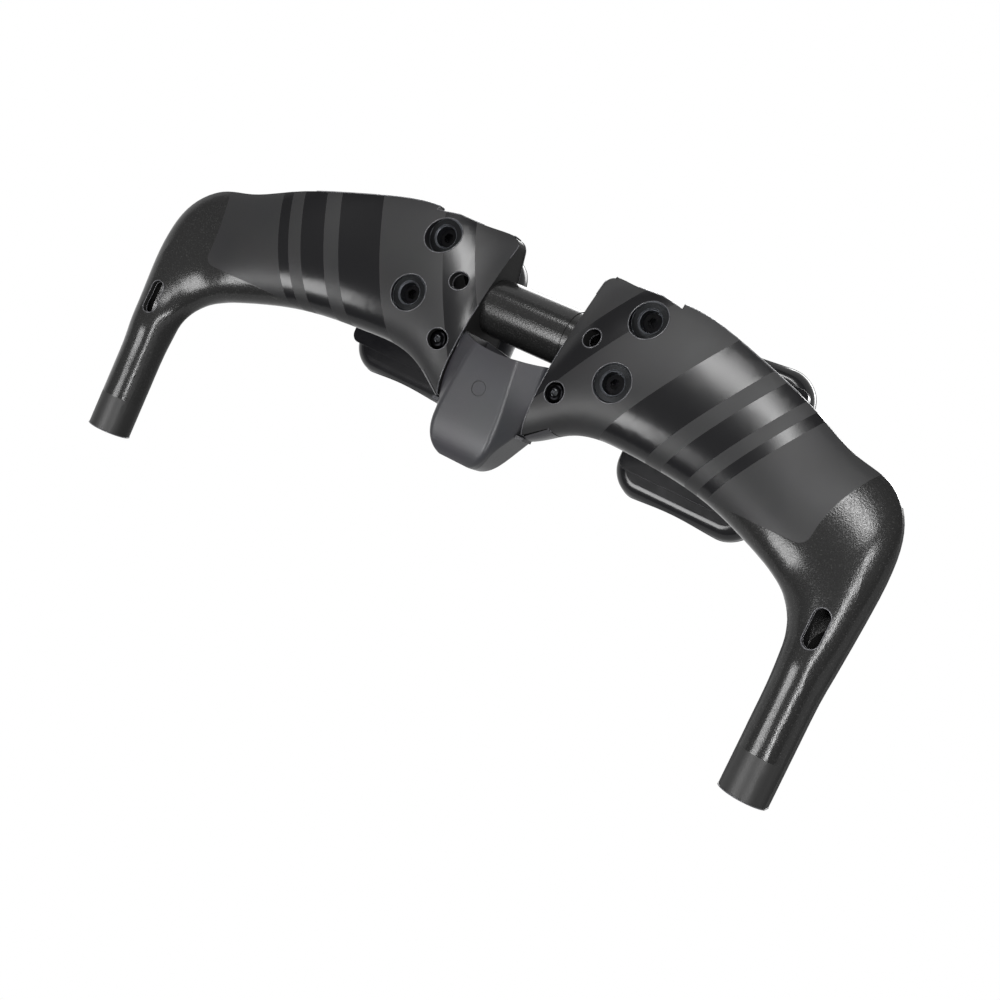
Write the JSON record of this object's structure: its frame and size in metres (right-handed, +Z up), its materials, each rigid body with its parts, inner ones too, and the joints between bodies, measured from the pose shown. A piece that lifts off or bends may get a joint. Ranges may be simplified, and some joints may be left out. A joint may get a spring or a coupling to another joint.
{
  "type": "aero handlebar",
  "caption": "Aero base bar for time trials: moulded wings with a round stem clamp, forward horns, a nose cover and padded arm cups on clamp brackets.",
  "frame": {"origin": "middle of the stem clamp's axis", "axes": "+X to the rider's right, +Y forward along the horns, +Z up as mounted"},
  "size_m": [0.4502, 0.195, 0.1193],
  "materials": {
    "moulded_carbon": "satin",
    "cover_plastic": "matte",
    "black_steel": "black oxide",
    "insert_brass": "turned",
    "bushing_aluminium": "grey anodised",
    "black_aluminium": "black anodised",
    "cup_plastic": "gloss",
    "washer_steel": "plain",
    "pad_foam": "knitted cover",
    "patch_fabric": "hooks and loops"
  },
  "bodies": {
    "root": {"base_bar": "moulded_carbon", "nose_cover": "cover_plastic", "cover_plug": "cover_plastic", "cover_screws": "black_steel", "cover_inserts": "insert_brass", "bolt_bushings": "bushing_aluminium", "front_bracket_bolts": "black_steel", "rear_bracket_bolts": "black_steel", "right_bracket": "black_aluminium", "left_bracket": "black_aluminium", "right_cup": "cup_plastic", "left_cup": "cup_plastic", "cup_screws": "black_steel", "cup_washers": "washer_steel", "right_pad": "pad_foam", "left_pad": "pad_foam", "right_pad_patches": "patch_fabric", "left_pad_patches": "patch_fabric"}
  },
  "joints": []
}
